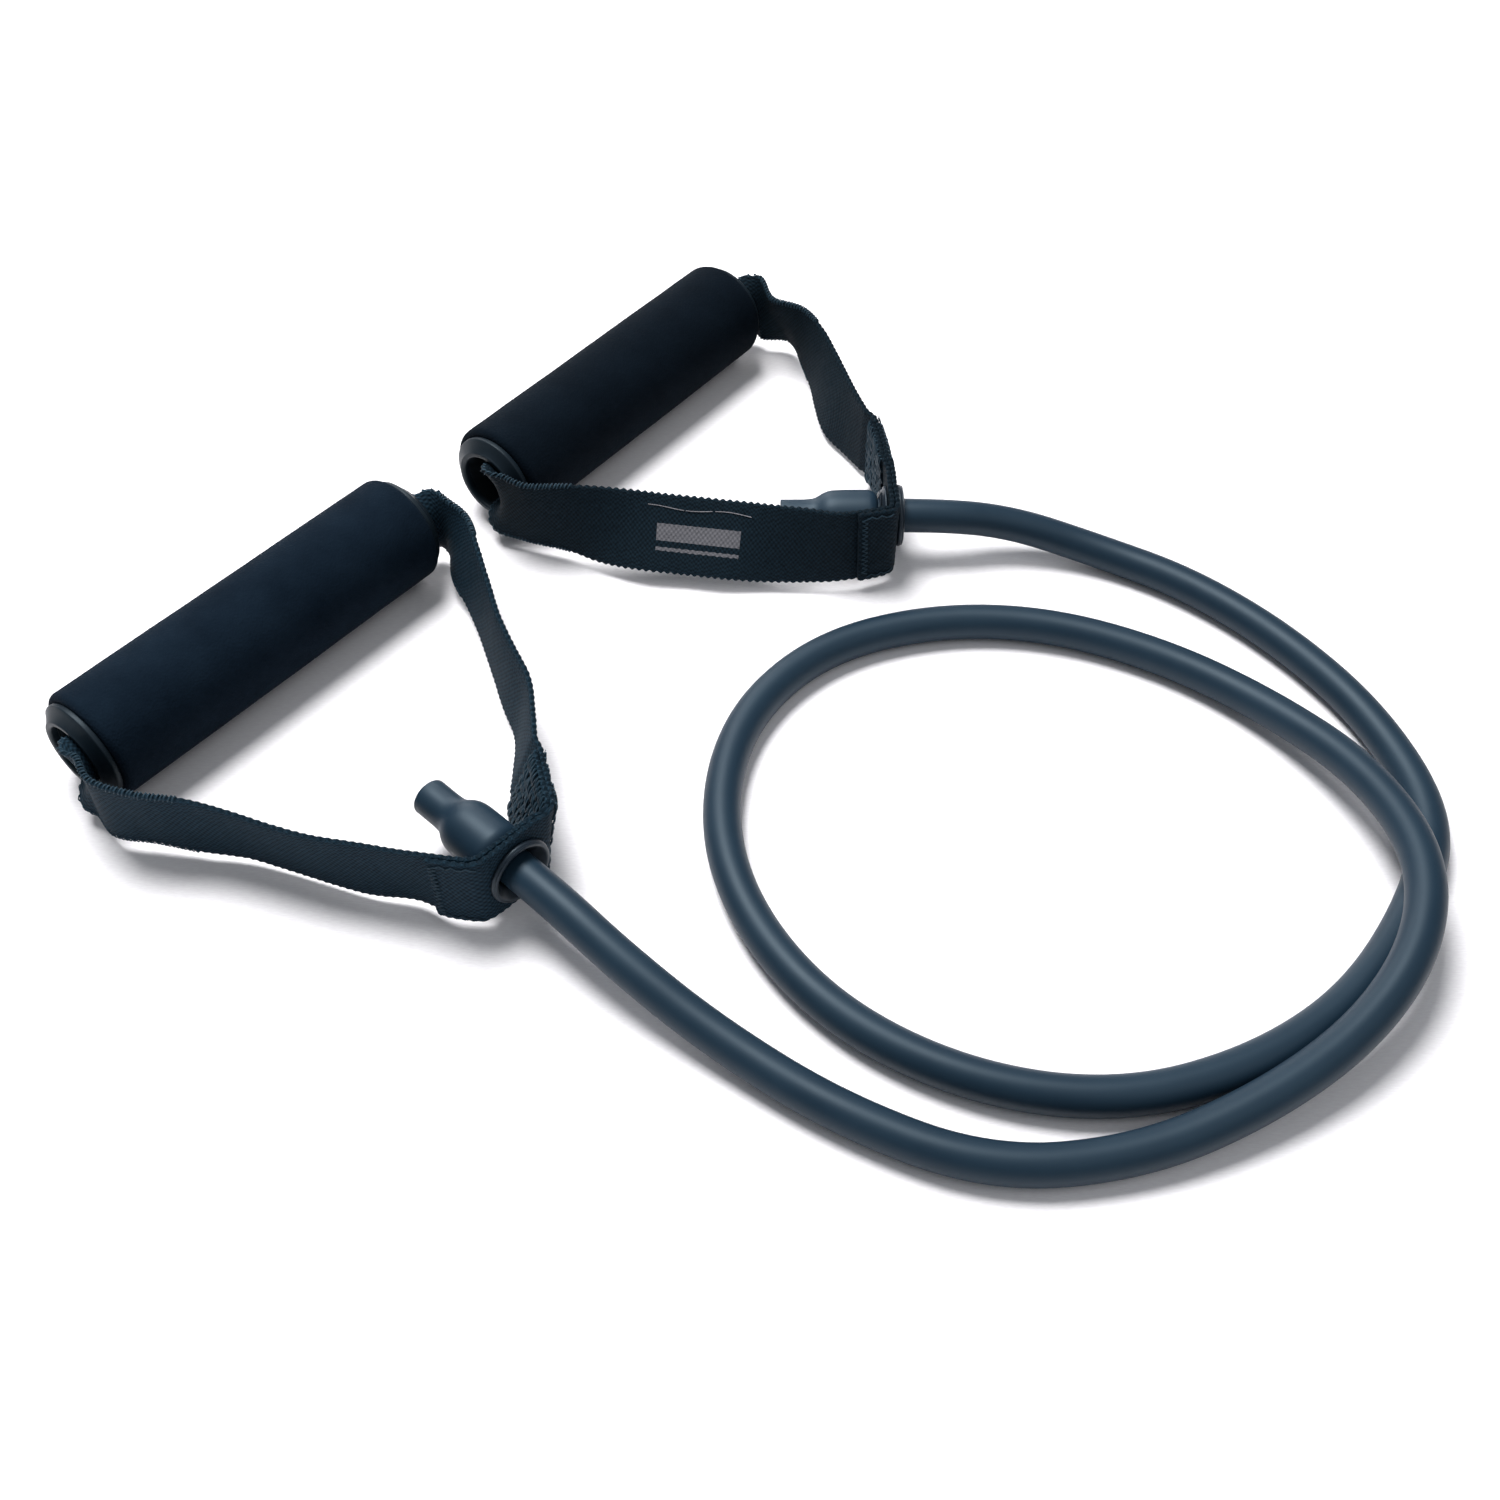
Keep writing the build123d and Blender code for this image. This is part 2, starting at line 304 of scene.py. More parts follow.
def node(material, kind, **settings):
    made = material.node_tree.nodes.new(kind)
    for key, value in settings.items():
        setattr(made, key, value)
    return made


def link(material, source, target):
    material.node_tree.links.new(source, target)


def value(material, operation, first, second=None):
    """A Math node; either side is a number or a socket."""
    made = node(material, "ShaderNodeMath", operation=operation)
    for socket, given in zip(made.inputs, (first, second)):
        if given is None:
            continue
        if isinstance(given, (int, float)):
            socket.default_value = given
        else:
            link(material, given, socket)
    return made.outputs[0]


def grain(material, scale, detail=2.0, roughness=0.5, stretch=(1, 1, 1)):
    """Noise on Object coordinates, stretched along an axis if asked."""
    place = node(material, "ShaderNodeTexCoord")
    mapping = node(material, "ShaderNodeMapping")
    mapping.inputs["Scale"].default_value = stretch
    made = node(material, "ShaderNodeTexNoise")
    made.inputs["Scale"].default_value = scale
    made.inputs["Detail"].default_value = detail
    made.inputs["Roughness"].default_value = roughness
    link(material, place.outputs["Object"], mapping.inputs["Vector"])
    link(material, mapping.outputs["Vector"], made.inputs["Vector"])
    return made.outputs["Fac"]


def spread(material, factor, low, high, dark, light):
    """A colour ramp from dark to light as the factor goes from low to high."""
    made = node(material, "ShaderNodeValToRGB")
    made.color_ramp.elements[0].position = low
    made.color_ramp.elements[0].color = (*dark, 1)
    made.color_ramp.elements[1].position = high
    made.color_ramp.elements[1].color = (*light, 1)
    link(material, factor, made.inputs["Fac"])
    return made.outputs["Color"]


def span(material, factor, low, high):
    """Maps 0..1 to low..high."""
    made = node(material, "ShaderNodeMapRange")
    made.inputs["To Min"].default_value = low
    made.inputs["To Max"].default_value = high
    link(material, factor, made.inputs["Value"])
    return made.outputs["Result"]


def bump(material, shader, height, distance, strength=1.0, under=None):
    made = node(material, "ShaderNodeBump")
    made.inputs["Distance"].default_value = distance
    made.inputs["Strength"].default_value = strength
    link(material, height, made.inputs["Height"])
    if under is not None:
        link(material, under, made.inputs["Normal"])
    link(material, made.outputs["Normal"], shader.inputs["Normal"])
    return made.outputs["Normal"]


def tube_rubber():
    """Satin moulded rubber: a dusty bloom in soft patches, and a fine grainy skin."""
    made, shader = new_material("tube_rubber", 0.5, 0.34)
    bloom = grain(made, 35, 4, 0.6)
    deep, dusty = (0.0050, 0.0165, 0.031), (0.0076, 0.0215, 0.038)
    link(made, spread(made, bloom, 0.3, 0.75, deep, dusty), shader.inputs["Base Color"])
    link(made, span(made, bloom, 0.44, 0.56), shader.inputs["Roughness"])
    fine = bump(made, shader, grain(made, 1800, 2), 0.00002, 0.5)
    bump(made, shader, grain(made, 140, 2), 0.00008, 0.4, fine)
    return made


def grip_foam(name):
    """Closed-cell foam: matte, with open pores and soft handling marks."""
    made, shader = new_material(f"{name}_grip_foam", 0.95, 0.08)
    cloud = grain(made, 45, 5, 0.65)
    # Painted shade: the back handle's foam colours come out darker here.
    deep, worn = with_painted_shade(name, (0.0018, 0.0052, 0.0108)), with_painted_shade(name, (0.0048, 0.0108, 0.0195))
    link(made, spread(made, cloud, 0.3, 0.72, deep, worn), shader.inputs["Base Color"])
    place = node(made, "ShaderNodeTexCoord")
    pores = node(made, "ShaderNodeTexVoronoi")
    pores.inputs["Scale"].default_value = 1400
    link(made, place.outputs["Object"], pores.inputs["Vector"])
    open_pores = bump(made, shader, pores.outputs["Distance"], 0.00025, 0.5)
    bump(made, shader, grain(made, 260, 4, 0.6), 0.0004, 0.35, open_pores)
    return made


def moulded_plastic(name, dark, light, roughness, specular):
    """Satin injection-moulded plastic with a faint orange-peel skin."""
    made, shader = new_material(name, roughness, specular)
    tone = grain(made, 60, 3)
    link(made, spread(made, tone, 0.3, 0.7, dark, light), shader.inputs["Base Color"])
    sheen = grain(made, 220, 3)
    link(made, span(made, sheen, roughness - 0.06, roughness + 0.08), shader.inputs["Roughness"])
    bump(made, shader, grain(made, 900, 2), 0.00003, 0.5)
    return made


def inside(material, position, low, high):
    """1 where a position lies between two limits, and 0 elsewhere."""
    above = value(material, "GREATER_THAN", position, low)
    return value(material, "MULTIPLY", above, value(material, "LESS_THAN", position, high))


def woven(name, dark, light, length, stripes=()):
    """Webbing: a close weave on the strap's own map, a paler selvedge, and plain printed stripes.

    The outer face has 0..1 across it on the map, and the inner face 1..2.
    """
    made, shader = new_material(name, 0.8, 0.14)
    place = node(made, "ShaderNodeUVMap", uv_map="strap")
    parts = node(made, "ShaderNodeSeparateXYZ")
    link(made, place.outputs["UV"], parts.inputs["Vector"])
    weft_turns = 2 * math.pi * length / (1.5 * MM)
    warp_turns = 2 * math.pi * WEB_WIDTH / (1.5 * MM)
    weft = value(made, "SINE", value(made, "MULTIPLY", parts.outputs["X"], weft_turns))
    warp = value(made, "SINE", value(made, "MULTIPLY", parts.outputs["Y"], warp_turns))
    crossing = value(made, "MULTIPLY", weft, warp)
    height = value(made, "ADD", value(made, "MULTIPLY", crossing, 0.5), 0.5)
    edge = value(made, "ABSOLUTE", value(made, "SUBTRACT", value(made, "FRACT", parts.outputs["Y"]), 0.5))
    selvedge = value(made, "GREATER_THAN", edge, 0.455)
    fuzz = grain(made, 700, 3, 0.6)
    tone = value(made, "ADD", value(made, "MULTIPLY", height, 0.55), value(made, "MULTIPLY", fuzz, 0.45))
    tone = value(made, "ADD", tone, value(made, "MULTIPLY", selvedge, 0.18))
    colour = spread(made, tone, 0.25, 0.95, dark, light)
    for first, last, low, high in stripes:
        along = inside(made, parts.outputs["X"], first / length, last / length)
        stripe = value(made, "MULTIPLY", along, inside(made, parts.outputs["Y"], low, high))
        worn = value(made, "MULTIPLY", stripe, span(made, tone, 0.35, 1.0))
        mixed = node(made, "ShaderNodeMix", data_type="RGBA")
        link(made, worn, mixed.inputs["Factor"])
        link(made, colour, mixed.inputs["A"])
        mixed.inputs["B"].default_value = (0.17, 0.165, 0.18, 1)
        colour = mixed.outputs["Result"]
    link(made, colour, shader.inputs["Base Color"])
    yarns = bump(made, shader, height, 0.00022, 0.7)
    bump(made, shader, fuzz, 0.0002, 0.5, yarns)
    return made


def sewing_thread(name, colour):
    made, shader = new_material(name, 0.6, 0.25)
    twist = grain(made, 2600, 2)
    deep = tuple(c * 0.7 for c in colour)
    link(made, spread(made, twist, 0.3, 0.7, deep, colour), shader.inputs["Base Color"])
    bump(made, shader, twist, 0.00008, 0.6)
    return made


def give(piece, material):
    piece.data.materials.clear()
    piece.data.materials.append(material)


RUBBER = tube_rubber()
FLANGE = moulded_plastic("flange_plastic", (0.0030, 0.0065, 0.0105), (0.0050, 0.0100, 0.0155), 0.48, 0.24)
CORE = moulded_plastic("core_plastic", (0.006, 0.009, 0.012), (0.010, 0.014, 0.018), 0.5, 0.3)
EYELET = moulded_plastic("eyelet_plastic", (0.008, 0.013, 0.020), (0.013, 0.019, 0.028), 0.4, 0.35)
THREAD = sewing_thread("black_thread", (0.017, 0.040, 0.060))
PALE_THREAD = sewing_thread("grey_thread", (0.26, 0.25, 0.27))


# The strap as a sampled line with its own frame


def corner(before, at, after, reach):
    """Three points round a corner: where its arc starts, the arc's middle and where it ends."""
    into = (at - before).normalized()
    away = (after - at).normalized()
    half = into.angle(away) / 2
    inward = (away - into).normalized()
    sagitta = reach * (1 / math.sin(half) - 1 / math.tan(half)) if half > 0.05 else 0
    return [at - into * reach, at + inward * sagitta, at + away * reach]


def leg_stations(name, side, eyelet):
    """A leg's stations from the grip's end to the eyelet: (point, lean, curl), in the handle's frame."""
    start = Vector((side * 70.5 * MM, 6 * MM, FOAM_RADIUS))
    along = Vector((eyelet.x - start.x, eyelet.y - start.y, 0))
    outward = Vector((side * along.y, -side * along.x, 0)).normalized()
    stations = []
    for share, bulge, drop, lean in STRAPS[name]["left" if side > 0 else "right"]:
        point = start + along * share + outward * (bulge * MM)
        point.z += share * (eyelet.z - start.z) - drop * MM
        curl = 5 if share < 0.15 else 0
        stations.append((point, lean, curl))
    return stations


def mouth_stations(side):
    """The webbing in the end of the bore, where it is rolled into a trough, and its turn out of the mouth."""
    middle = 8.2 * MM
    bend = 3.5 * MM
    stations = [(x, middle, curl) for x, curl in ((20, 176), (45, 176), (58, 172), (63, 164))]
    stations = [(Vector((side * x * MM, y, FOAM_RADIUS)), 0, curl) for x, y, curl in stations]
    for turn, curl in ((0, 152), (30, 104), (60, 50), (90, 16)):
        a = math.radians(turn)
        x = RING_FACE + bend * math.sin(a)
        y = middle + bend * (1 - math.cos(a))
        stations.append((Vector((side * x, y, FOAM_RADIUS)), 0, curl))
    return stations


def loop_stations(name):
    """The strap's closed loop from the eyelet: right leg, grip, left leg and back to the eyelet."""
    to_handle = grip_frame(name).inverted()
    eyelet = to_handle @ eyelet_frame(name).translation
    left = (to_handle @ eyelet_frame(name)).to_3x3() @ Vector((1, 0, 0))
    flat = 11.5 * MM
    legs = {side: mouth_stations(side) + leg_stations(name, side, eyelet) for side in (1, -1)}
    turns = {}
    for side in (1, -1):
        end = legs[side][-1]
        points = corner(end[0], eyelet + left * (side * flat), eyelet, 2.2 * MM)
        turns[side] = [(points[0], end[1] * 0.6, 0), (points[1], end[1] * 0.25, 0), (points[2], 0, 0)]
    middle = [(eyelet, 0, 0)]
    return middle + turns[-1][::-1] + legs[-1][::-1] + legs[1] + turns[1]


def blended(a, b, share):
    return tuple(p + (q - p) * share for p, q in zip(a, b))


def between(a, b, c, d, share):
    """A station between b and c, on the smooth curve (centripetal Catmull-Rom) through all four."""
    knots = [0.0]
    for p, q in ((a, b), (b, c), (c, d)):
        knots.append(knots[-1] + max((p[0] - q[0]).length, 1e-6) ** 0.5)
    at = knots[1] + (knots[2] - knots[1]) * share
    first = blended(a, b, at / knots[1])
    second = blended(b, c, share)
    third = blended(c, d, (at - knots[2]) / (knots[3] - knots[2]))
    early = blended(first, second, at / knots[2])
    late = blended(second, third, (at - knots[1]) / (knots[3] - knots[1]))
    return blended(early, late, share)


class Strap:
    """One handle's webbing: a closed loop with distance 0 at the eyelet, running to the right leg first."""

    STEP = 0.25 * MM

    def __init__(self, name):
        self.place = grip_frame(name)
        self.laps = [lap * MM for lap in STRAPS[name]["lap"]]
        stations = loop_stations(name)
        count = len(stations)
        dense = []
        for i in range(count):
            around = [stations[(i + k) % count] for k in (-1, 0, 1, 2)]
            dense += [between(*around, k / 24) for k in range(24)]
        dense.append(dense[0])
        reach = [0.0]
        for a, b in zip(dense, dense[1:]):
            reach.append(reach[-1] + (a[0] - b[0]).length)
        self.length = reach[-1]
        self.count = int(self.length / self.STEP)
        self.samples = []
        k = 0
        for i in range(self.count):
            at = self.length * i / self.count
            while reach[k + 1] < at:
                k += 1
            self.samples.append(blended(dense[k], dense[k + 1], (at - reach[k]) / (reach[k + 1] - reach[k])))

    def frame(self, at):
        """Centre, way along, way across to the top edge, way out and curl at a distance along the loop."""
        place = at / self.length * self.count
        i = math.floor(place)
        share = place - i
        centre, lean, curl = blended(self.samples[i % self.count], self.samples[(i + 1) % self.count], share)
        before = self.samples[(i - 2) % self.count][0]
        after = self.samples[(i + 3) % self.count][0]
        along = (after - before).normalized()
        outward = Vector((along.y, -along.x, 0)).normalized()
        lean = math.radians(lean + 1.5 * noise.noise(Vector((at * 40, 3, 7))))
        across = outward * math.sin(lean) + UP * math.cos(lean)
        out = along.cross(across).normalized()
        return centre, along, across, out, math.radians(curl)

    def point(self, at, aside, height):
        """A point this far along, this far across towards the top edge, and this high off the inner layer."""
        centre, _, across, out, curl = self.frame(at)
        if curl < 0.02:
            spot = centre + across * aside + out * height
        else:
            radius = WEB_WIDTH / curl
            a = aside / radius
            normal = out * math.cos(a) - across * math.sin(a)
            rise = radius * (1 - math.cos(a))
            spot = centre + across * (radius * math.sin(a)) + out * rise + normal * height
        return self.place @ spot

    def lift(self, at):
        """How far the layer is lifted off the inner one: a layer in the lap, easing down past its end."""
        if at > self.length / 2:
            return 0.0
        share = min(max((at - self.laps[1] - 0.5 * MM) / (6 * MM), 0), 1)
        return LAYER * (1 - share * share * (3 - 2 * share))


def webbing(name, strap, material):
    """One length of webbing: from its lap left of the eyelet, right round the loop and under itself."""
    ring_step = 0.4 * MM
    columns = 24
    start = -strap.laps[0]
    end = strap.length + strap.laps[1]
    rings = int((end - start) / ring_step)
    half = WEB_WIDTH / 2
    vertices = []
    for i in range(rings + 1):
        at = start + (end - start) * i / rings
        beat = math.cos(2 * math.pi * at / (2.3 * MM))
        scallop = 0.34 * MM * beat
        lift = strap.lift(at)
        for face in (1, -1):
            for j in range(columns + 1):
                share = j / columns * 2 - 1
                share = math.copysign(1 - (1 - abs(share)) ** 1.25, share)
                aside = share * (half + scallop)
                edge = max(0, (abs(aside) - (half - 0.9 * MM)) / (1.25 * MM))
                bead = 0.16 * MM * beat * min(1, max(0, (abs(share) - 0.84) / 0.08))
                thick = (WEB_THICKNESS / 2 + bead) * math.sqrt(max(0.02, 1 - edge * edge))
                rib = 0.05 * MM * math.cos(2 * math.pi * aside / (2.1 * MM)) * (1 - min(1, edge))
                rough = 0.06 * MM * noise.noise(Vector((at * 300, aside * 300, face)))
                vertices.append(strap.point(at, aside * face, lift + face * (thick + rib + rough)))
    ring = 2 * (columns + 1)

    def in_hole(i, j):
        along = start + (end - start) * (i + 0.5) / rings
        along = min(abs(along), abs(along - strap.length))
        return 0 <= j < columns and math.hypot(along, ((j + 0.5) / columns - 0.5) * WEB_WIDTH) < HOLE_RADIUS

    def wall(top, other):
        under = [v - v % ring + ring - 1 - v % ring for v in (top, other)]
        faces.append((top, other, under[1], under[0]))

    faces = []
    for i in range(rings):
        for j in range(ring):
            a, b = i * ring + j, i * ring + (j + 1) % ring
            if in_hole(i, j):
                for open_side, edge in (
                    (in_hole(i - 1, j), (b, a)),
                    (in_hole(i + 1, j), (a + ring, b + ring)),
                    (in_hole(i, j - 1), (a, a + ring)),
                    (in_hole(i, j + 1), (b + ring, b)),
                ):
                    if not open_side:
                        wall(*edge)
            elif not in_hole(i, ring - 2 - j):
                faces.append((a, a + ring, b + ring, b))
    for i in (0, rings):
        for j in range(columns):
            a, b = i * ring + j, i * ring + j + 1
            c, d = i * ring + ring - 2 - j, i * ring + ring - 1 - j
            faces.append((d, c, b, a) if i else (a, b, c, d))
    mesh = bpy.data.meshes.new(f"{name}_webbing")
    mesh.from_pydata(vertices, [], faces)
    mapped = mesh.uv_layers.new(name="strap")
    for loop in mesh.loops:
        i, j = divmod(loop.vertex_index, ring)
        across = j / columns if j <= columns else 1 + (ring - 1 - j) / columns
        mapped.data[loop.index].uv = (i / rings, across)
    piece = bpy.data.objects.new(f"{name}_webbing", mesh)
    bpy.context.scene.collection.objects.link(piece)
    give(piece, material)
    return piece, end - start


# Stitches on a strap


def stitch(strap, start, end, height, bow, steps=5):
    """One stitch over the face, from one needle hole to the next; both are (along, aside)."""
    line = []
    for k in range(steps + 1):
        share = k / steps
        at = start[0] + (end[0] - start[0]) * share
        aside = start[1] + (end[1] - start[1]) * share
        line.append(strap.point(at, aside, height + bow * math.sin(math.pi * share)))
    return line


def zigzag(strap, start, end, reach, pitch, height, draw, loose=0.0, bow=0.25 * MM):
    """Stitches to and fro across a line on the face. reach is half the width of the zigzag."""
    run = Vector((end[0] - start[0], end[1] - start[1]))
    count = max(2, round(run.length / pitch))
    side = Vector((-run.y, run.x)).normalized() * reach
    lines = []
    here = None
    for k in range(count + 1):
        spot = Vector(start) + run * (k / count) + side * (1 if k % 2 else -1)
        spot += Vector((draw.uniform(-loose, loose), draw.uniform(-loose, loose)))
        if here is not None:
            arch = math.copysign(bow * draw.uniform(0.6, 1.2), height)
            lines.append(stitch(strap, here, spot, height, arch))
        here = spot
    return lines


def overcast(strap, start, end, side, draw):
    """Thread loops round one edge of every layer: side is 1 for the top edge, -1 for the bottom."""
    half = WEB_WIDTH / 2
    lines = []
    count = round((end - start) / EDGE_LOOP_PITCH)
    for k in range(count):
        at = start + (end - start) * k / count + draw.uniform(-0.12, 0.12) * MM
        if abs(strap.frame(at)[0].x) < GRIP_HALF:
            continue
        doubled = min(at + strap.laps[0], strap.laps[1] - at) > 0
        lift = 0 if doubled else strap.lift(at)
        top = (LAYER if doubled else lift) + FACE
        under = lift - FACE
        reach = draw.uniform(0.6, 1.1) * MM
        slant = draw.uniform(0.6, 0.9) * MM
        rise = draw.uniform(0.02, 0.12) * MM
        lines.append([
            strap.point(at, side * (half - reach), top - 0.1 * MM),
            strap.point(at + slant * 0.3, side * (half - reach * 0.4), top + rise),
            strap.point(at + slant * 0.6, side * (half + 0.15 * MM), top - 0.1 * MM),
            strap.point(at + slant * 0.8, side * (half + 0.35 * MM), (top + under) / 2),
            strap.point(at + slant, side * (half + 0.15 * MM), under + 0.1 * MM),
            strap.point(at + slant, side * (half - reach), under - rise),
        ])
    return lines


def whiskers(strap, start, end, count, draw):
    """Frayed fibres standing out of the top edge."""
    lines = []
    for _ in range(count):
        at = draw.uniform(start, end)
        aside = WEB_WIDTH / 2 + draw.uniform(-0.5, 0.3) * MM
        height = draw.uniform(-FACE, LAYER + FACE)
        away = draw.uniform(1.2, 2.8) * MM
        drift = draw.uniform(-1.6, 1.6) * MM
        lines.append([
            strap.point(at + drift * k * k, aside + away * k, height + drift * k * 0.6)
            for k in (0, 0.35, 0.7, 1)
        ])
    return lines


def stitching(name, strap):
    """The sewing of the lap: a row across its left end, edge loops, and a packed bar tack on the right."""
    draw = random.Random(len(name))
    top, under = LAYER + FACE + 0.1 * MM, -FACE - 0.1 * MM
    left, right = -strap.laps[0], strap.laps[1]
    inset = left + 2 * MM
    rows, tack = [], []
    for height in (top, under):
        row = ((inset, -10 * MM), (inset, 11 * MM))
        rows += zigzag(strap, *row, 0.9 * MM, 0.8 * MM, height, draw, 0.15 * MM)
        for aside in (-11, 11):
            edge = ((left + 2.5 * MM, aside * MM), (-11.5 * MM, aside * MM))
            rows += zigzag(strap, *edge, 0.45 * MM, 1.7 * MM, height, draw, 0.1 * MM)
        for aside in range(-10, 11, 4):
            line = ((12.5 * MM, aside * MM), (right - 1 * MM, aside * MM))
            tack += zigzag(strap, *line, 2.5 * MM, 0.85 * MM, height, draw, 0.6 * MM, 0.6 * MM)
    loops = []
    for side in (1, -1):
        loops += overcast(strap, left, strap.length + left, side, draw)
    frayed = whiskers(strap, right - 5 * MM, right, 7, draw) + whiskers(strap, 12 * MM, 20 * MM, 3, draw)
    threads = [(line, 0.2 * MM) for line in rows] + [(line, 0.33 * MM) for line in tack]
    threads += [(line, 0.23 * MM) for line in loops] + [(line, 0.09 * MM) for line in frayed]
    return strands(f"{name}_sewing", threads)


def loose_thread(strap):
    """A pale thread caught along the left leg's outer face, near its top edge."""
    lines = []
    for first, last in ((-91, -79), (-78.5, -70), (-69, -57)):
        count = 14
        line = []
        for k in range(count + 1):
            at = strap.length + (first + (last - first) * k / count) * MM
            aside = (8.3 + 0.45 * math.sin(at * 260)) * MM
            line.append(strap.point(at, aside, FACE + 0.12 * MM))
        lines.append((line, 0.13 * MM))
    return strands("back_pale_thread", lines)


# Turned pieces


def flange_outline():
    """End ring, from the foam's end face outwards: thin rounded rim, plain sloping face and rounded mouth."""
    outline = [(12.15, 0.0), (15.1, 0.0)]
    outline += arc((15.1, 0.4), (0.4, 0.4), -90, 0, 4)
    outline += arc((14.9, 1.3), (0.6, 0.6), 0, 50, 5)
    outline += [(14.3, 2.35), (13.3, 3.15), (12.3, 3.95)]
    outline += arc((11.6, 3.98), (0.5, 0.6), 30, 92, 4)
    outline += arc((10.9, 3.7), (0.9, 0.86), 92, 180, 6)
    outline += [(10.0, 3.0), (10.0, 2.05), (12.15, 2.05)]
    return in_mm(outline)


def make_flange(name, side):
    piece = turned(f"{name}_{'left' if side > 0 else 'right'}_ring", flange_outline())
    turn = Matrix.Rotation(math.radians(90 * side), 4, "Y")
    place = Matrix.Translation((0, 0, FOAM_RADIUS)) @ turn @ Matrix.Translation((0, 0, GRIP_HALF))
    put(piece, grip_frame(name) @ place)
    smooth(piece, 50)
    give(piece, FLANGE)
    return piece


def make_foam(name, seed):
    """Foam sleeve: soft rounded ends and the unevenness of a handled grip."""
    half = GRIP_HALF / MM
    outline = [(12.05, -half), (14.0, -half)]
    outline += arc((15.6, -half + 2.3), (2.2, 2.3), -90, 0, 8)
    rows = 70
    outline += [(17.8, -half + 2.3 + (2 * half - 4.6) * k / rows) for k in range(1, rows)]
    outline += arc((15.6, half - 2.3), (2.2, 2.3), 0, 90, 8)
    outline += [(14.0, half), (12.05, half)]
    piece = turned(f"{name}_foam", in_mm(outline), 144)
    for vertex in piece.data.vertices:
        spot = vertex.co
        radial = Vector((spot.x, spot.y, 0))
        if radial.length < 13 * MM:
            continue
        wide = noise.noise(spot * 28 + Vector((seed, 0, 0)))
        fine = noise.noise(spot * 130 + Vector((0, seed, 0)))
        swell = -0.15 * MM + 0.12 * MM * wide + 0.05 * MM * fine
        vertex.co += radial.normalized() * swell
    turn = Matrix.Rotation(math.radians(90), 4, "Y")
    put(piece, grip_frame(name) @ Matrix.Translation((0, 0, FOAM_RADIUS)) @ turn)
    smooth(piece, 60)
    give(piece, grip_foam(name))
    return piece


def make_eyelet(name):
    """Eyelet: trumpet-mouthed flange outside the strap, barrel through it, rolled lip inside."""
    outline = [(5.9, 0.6), (5.9, -3.0)]
    outline += arc((6.9, -2.85), (1.0, 0.35), 180, 360, 8)
    outline += [(7.0, -2.4), (7.0, 2.42), (9.3, 2.42)]
    outline += arc((9.15, 3.3), (0.8, 0.85), -60, 60, 6)
    outline += arc((9.05, 3.85), (0.8, 0.72), 40, 150, 8)
    outline += [(8.0, 3.7), (7.4, 3.0), (6.85, 2.2), (6.4, 1.5), (6.1, 1.0)]
    piece = turned(f"{name}_eyelet_ring", in_mm(outline))
    put(piece, eyelet_frame(name))
    smooth(piece, 50)
    give(piece, EYELET)
    return piece


def make_washer(name):
    outline = [(7.05, -0.85), (9.1, -0.85)]
    outline += arc((9.1, -1.25), (0.4, 0.4), 90, -90, 6)
    outline += [(9.0, -1.65), (8.4, -2.2), (7.6, -2.38), (7.05, -2.38)]
    piece = turned(f"{name}_inside_washer", in_mm(outline))
    put(piece, eyelet_frame(name))
    smooth(piece, 50)
    give(piece, EYELET)
    return piece


def make_tube_end(name):
    """The tube's swollen end: round shoulders over the plug, a pinched neck and the open tail."""
    outline = [(3.0, -3.5), (5.5, -3.5)]
    outline += arc((5.5, -6.9), (2.9, 3.4), 80, 5, 8)
    outline += [(8.42, -8.5), (8.45, -11), (8.45, -14), (8.42, -16.5), (8.3, -18.3)]
    outline += [(8.05, -19.6), (7.6, -20.8), (7.05, -21.8), (6.5, -22.7), (6.05, -23.6)]
    outline += [(5.75, -24.6), (5.6, -25.8), (5.52, -27.5), (5.52, -31)]
    outline += arc((5.1, -34.6), (0.45, 0.4), 0, -90, 4)
    outline += arc((3.5, -34.6), (0.45, 0.4), -90, -180, 4)
    outline += [(3.0, -33), (3.0, -28), (3.0, -24)]
    piece = turned(f"{name}_swollen_end", in_mm(outline))
    put(piece, eyelet_frame(name))
    smooth(piece, 50)
    give(piece, RUBBER)
    return piece


# The object


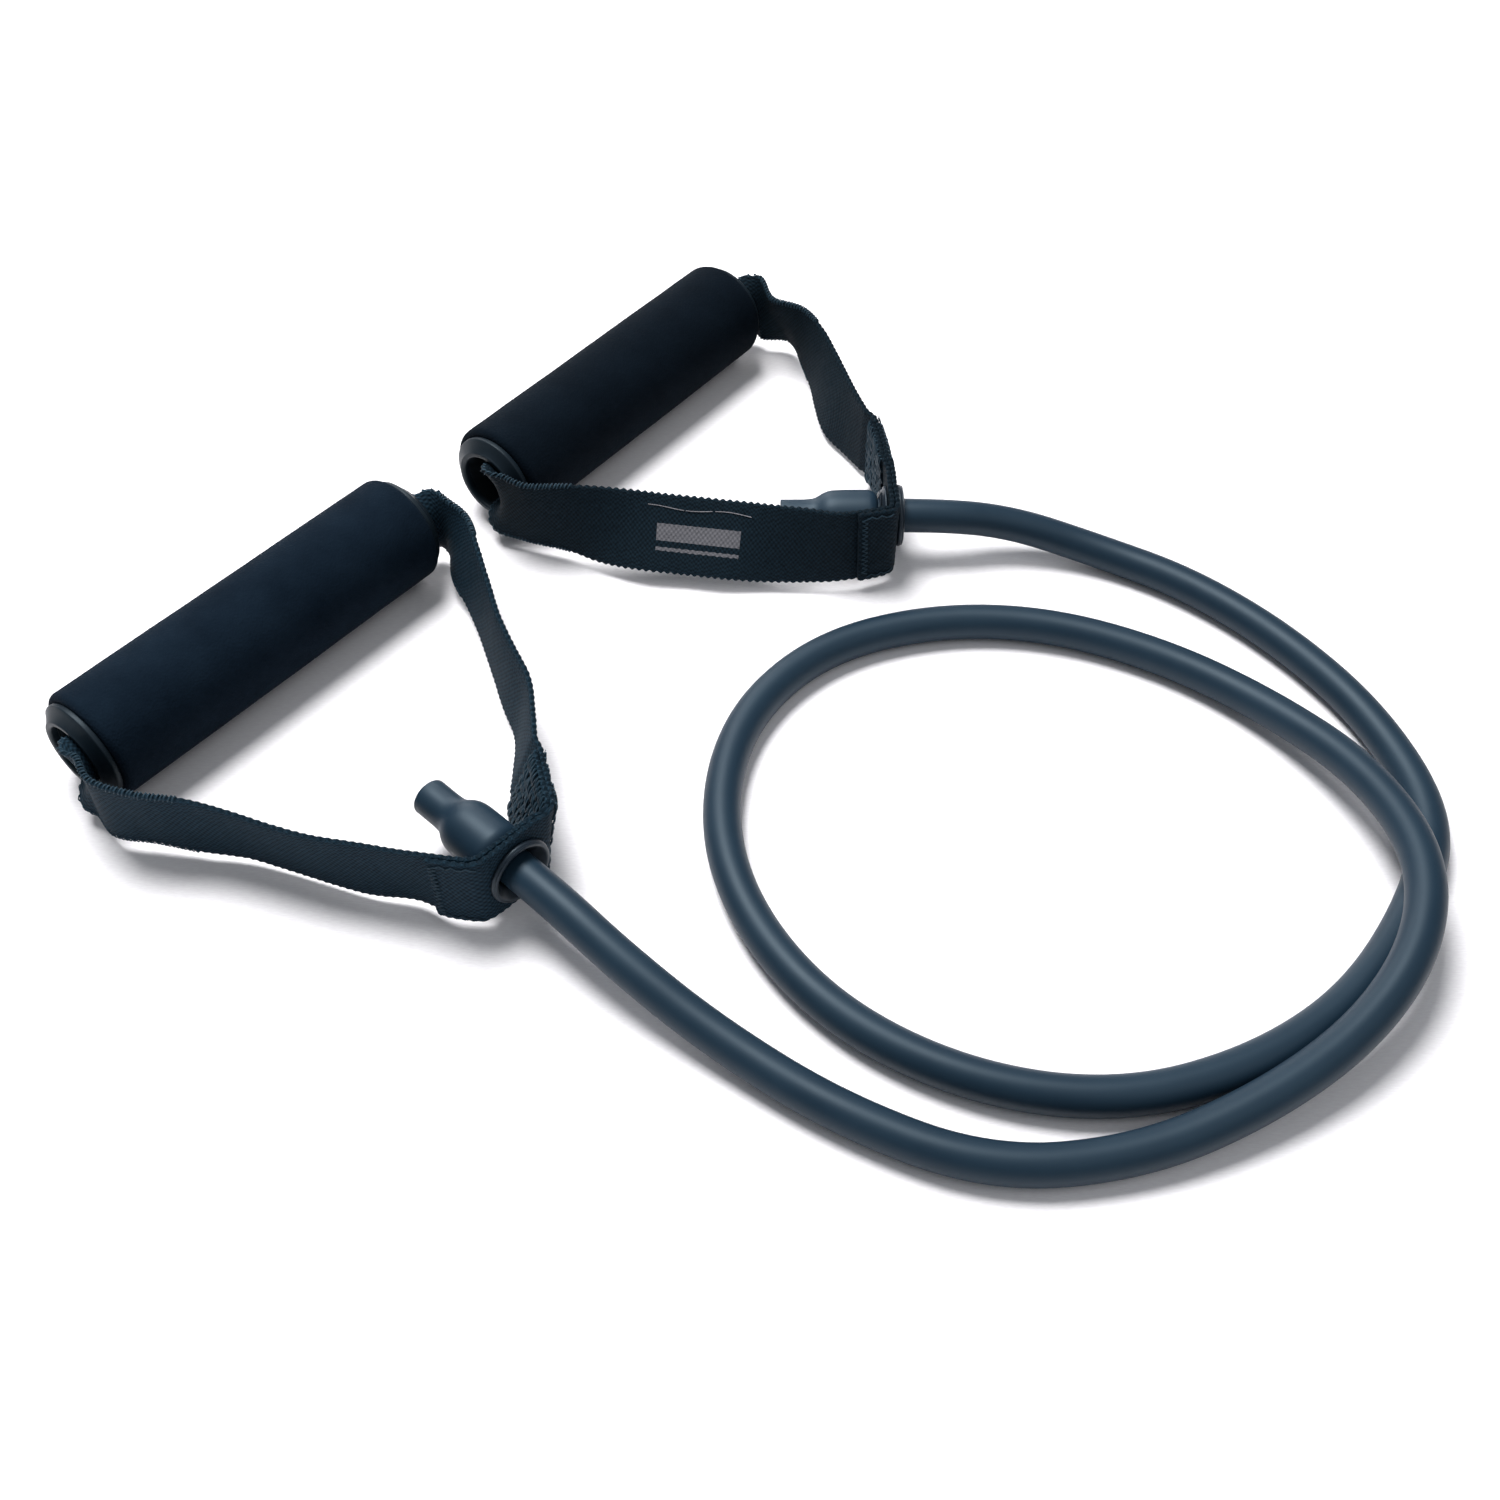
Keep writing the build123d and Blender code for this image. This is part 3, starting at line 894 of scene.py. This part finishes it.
def make_handle(name, seed):
    strap = Strap(name)
    length = strap.length + sum(strap.laps)
    far_leg = length - STRAPS[name]["lap"][1] * MM
    stripes = [
        (far_leg + first * MM, far_leg + last * MM, low, high)
        for first, last, low, high in STRIPES[name]
    ]
    # Painted shade: the back handle's webbing colours come out darker here.
    dark, light = with_painted_shade(name, (0.0014, 0.0055, 0.0105)), with_painted_shade(name, (0.0145, 0.038, 0.060))
    cloth = woven(f"{name}_webbing", dark, light, length, stripes)
    band, cut = webbing(name, strap, cloth)
    smooth(band, 60)
    sewing = stitching(name, strap)
    give(sewing, THREAD)
    foam = make_foam(name, seed)
    rings = {side: make_flange(name, side) for side in (1, -1)}
    eyelet = make_eyelet(name)
    washer = make_washer(name)
    end = make_tube_end(name)
    for piece, body, slot, replaced in (
        (band, "strap", "webbing", "webbing_strap"),
        (sewing, "strap", "thread", "stitching"),
        (eyelet, "strap", "eyelet_plastic", "eyelet"),
        (washer, "strap", "eyelet_plastic", "eyelet_washer"),
        (foam, "grip", "grip_foam", "foam_grip"),
        (rings[1], "grip", "flange_plastic", "left_flange"),
        (rings[-1], "grip", "flange_plastic", "right_flange"),
    ):
        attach(piece, f"{name}_{body}")
        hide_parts(f"{name}_{replaced}")
    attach(end, "band")
    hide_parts(f"{name}_tube_end")
    if STRIPES[name]:
        pale = loose_thread(strap)
        give(pale, PALE_THREAD)
        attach(pale, f"{name}_strap")
    for node_name in (f"{name}_core_tube", f"{name}_tube_plug"):
        give(frame["nodes"][node_name], CORE)
    return strap, end


def make_stage():
    deselect()
    bpy.ops.mesh.primitive_plane_add(size=8, location=(0, 0, 0))
    floor = bpy.context.object
    floor.name = "floor"
    material, shader = new_material("pale_cloth", 0.9, 0.1)
    threads = grain(material, 420, 2, 0.5, (1, 6, 1))
    shade, pale = (0.86, 0.835, 0.86), (0.93, 0.915, 0.93)
    link(material, spread(material, threads, 0.3, 0.7, shade, pale), shader.inputs["Base Color"])
    give(floor, material)
    put(floor, Matrix.Translation((0, 0, -0.0002)))


def area_light(name, location, target, size, power, colour=(1, 1, 1)):
    data = bpy.data.lights.new(name, "AREA")
    data.shape = "DISK"
    data.size = size
    data.energy = power
    data.color = colour
    lamp = bpy.data.objects.new(name, data)
    lamp.location = location
    lamp.rotation_euler = (Vector(target) - Vector(location)).to_track_quat("-Z", "Y").to_euler()
    bpy.context.scene.collection.objects.link(lamp)


def make_light():
    world = bpy.data.worlds.new("soft_sky")
    world.use_nodes = True
    world.node_tree.nodes["Background"].inputs["Color"].default_value = (0.9, 0.95, 1, 1)
    world.node_tree.nodes["Background"].inputs["Strength"].default_value = 0.28
    bpy.context.scene.world = world
    bpy.context.scene.view_settings.view_transform = "Standard"
    area_light("key", (-0.3, 0.42, 1.5), (0.08, -0.03, 0), 0.85, 41)
    area_light("rim", (-0.35, 1.5, 0.55), (0.08, -0.03, 0), 0.9, 9)
    area_light("fill", (0.9, -0.7, 1.4), (0.08, -0.03, 0), 1.2, 4)


for seed, handle_name in enumerate(("front", "back")):
    make_handle(handle_name, 5 + 9 * seed)

give(tube, RUBBER)
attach(tube, "band")
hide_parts("band_tube")

make_stage()
make_light()
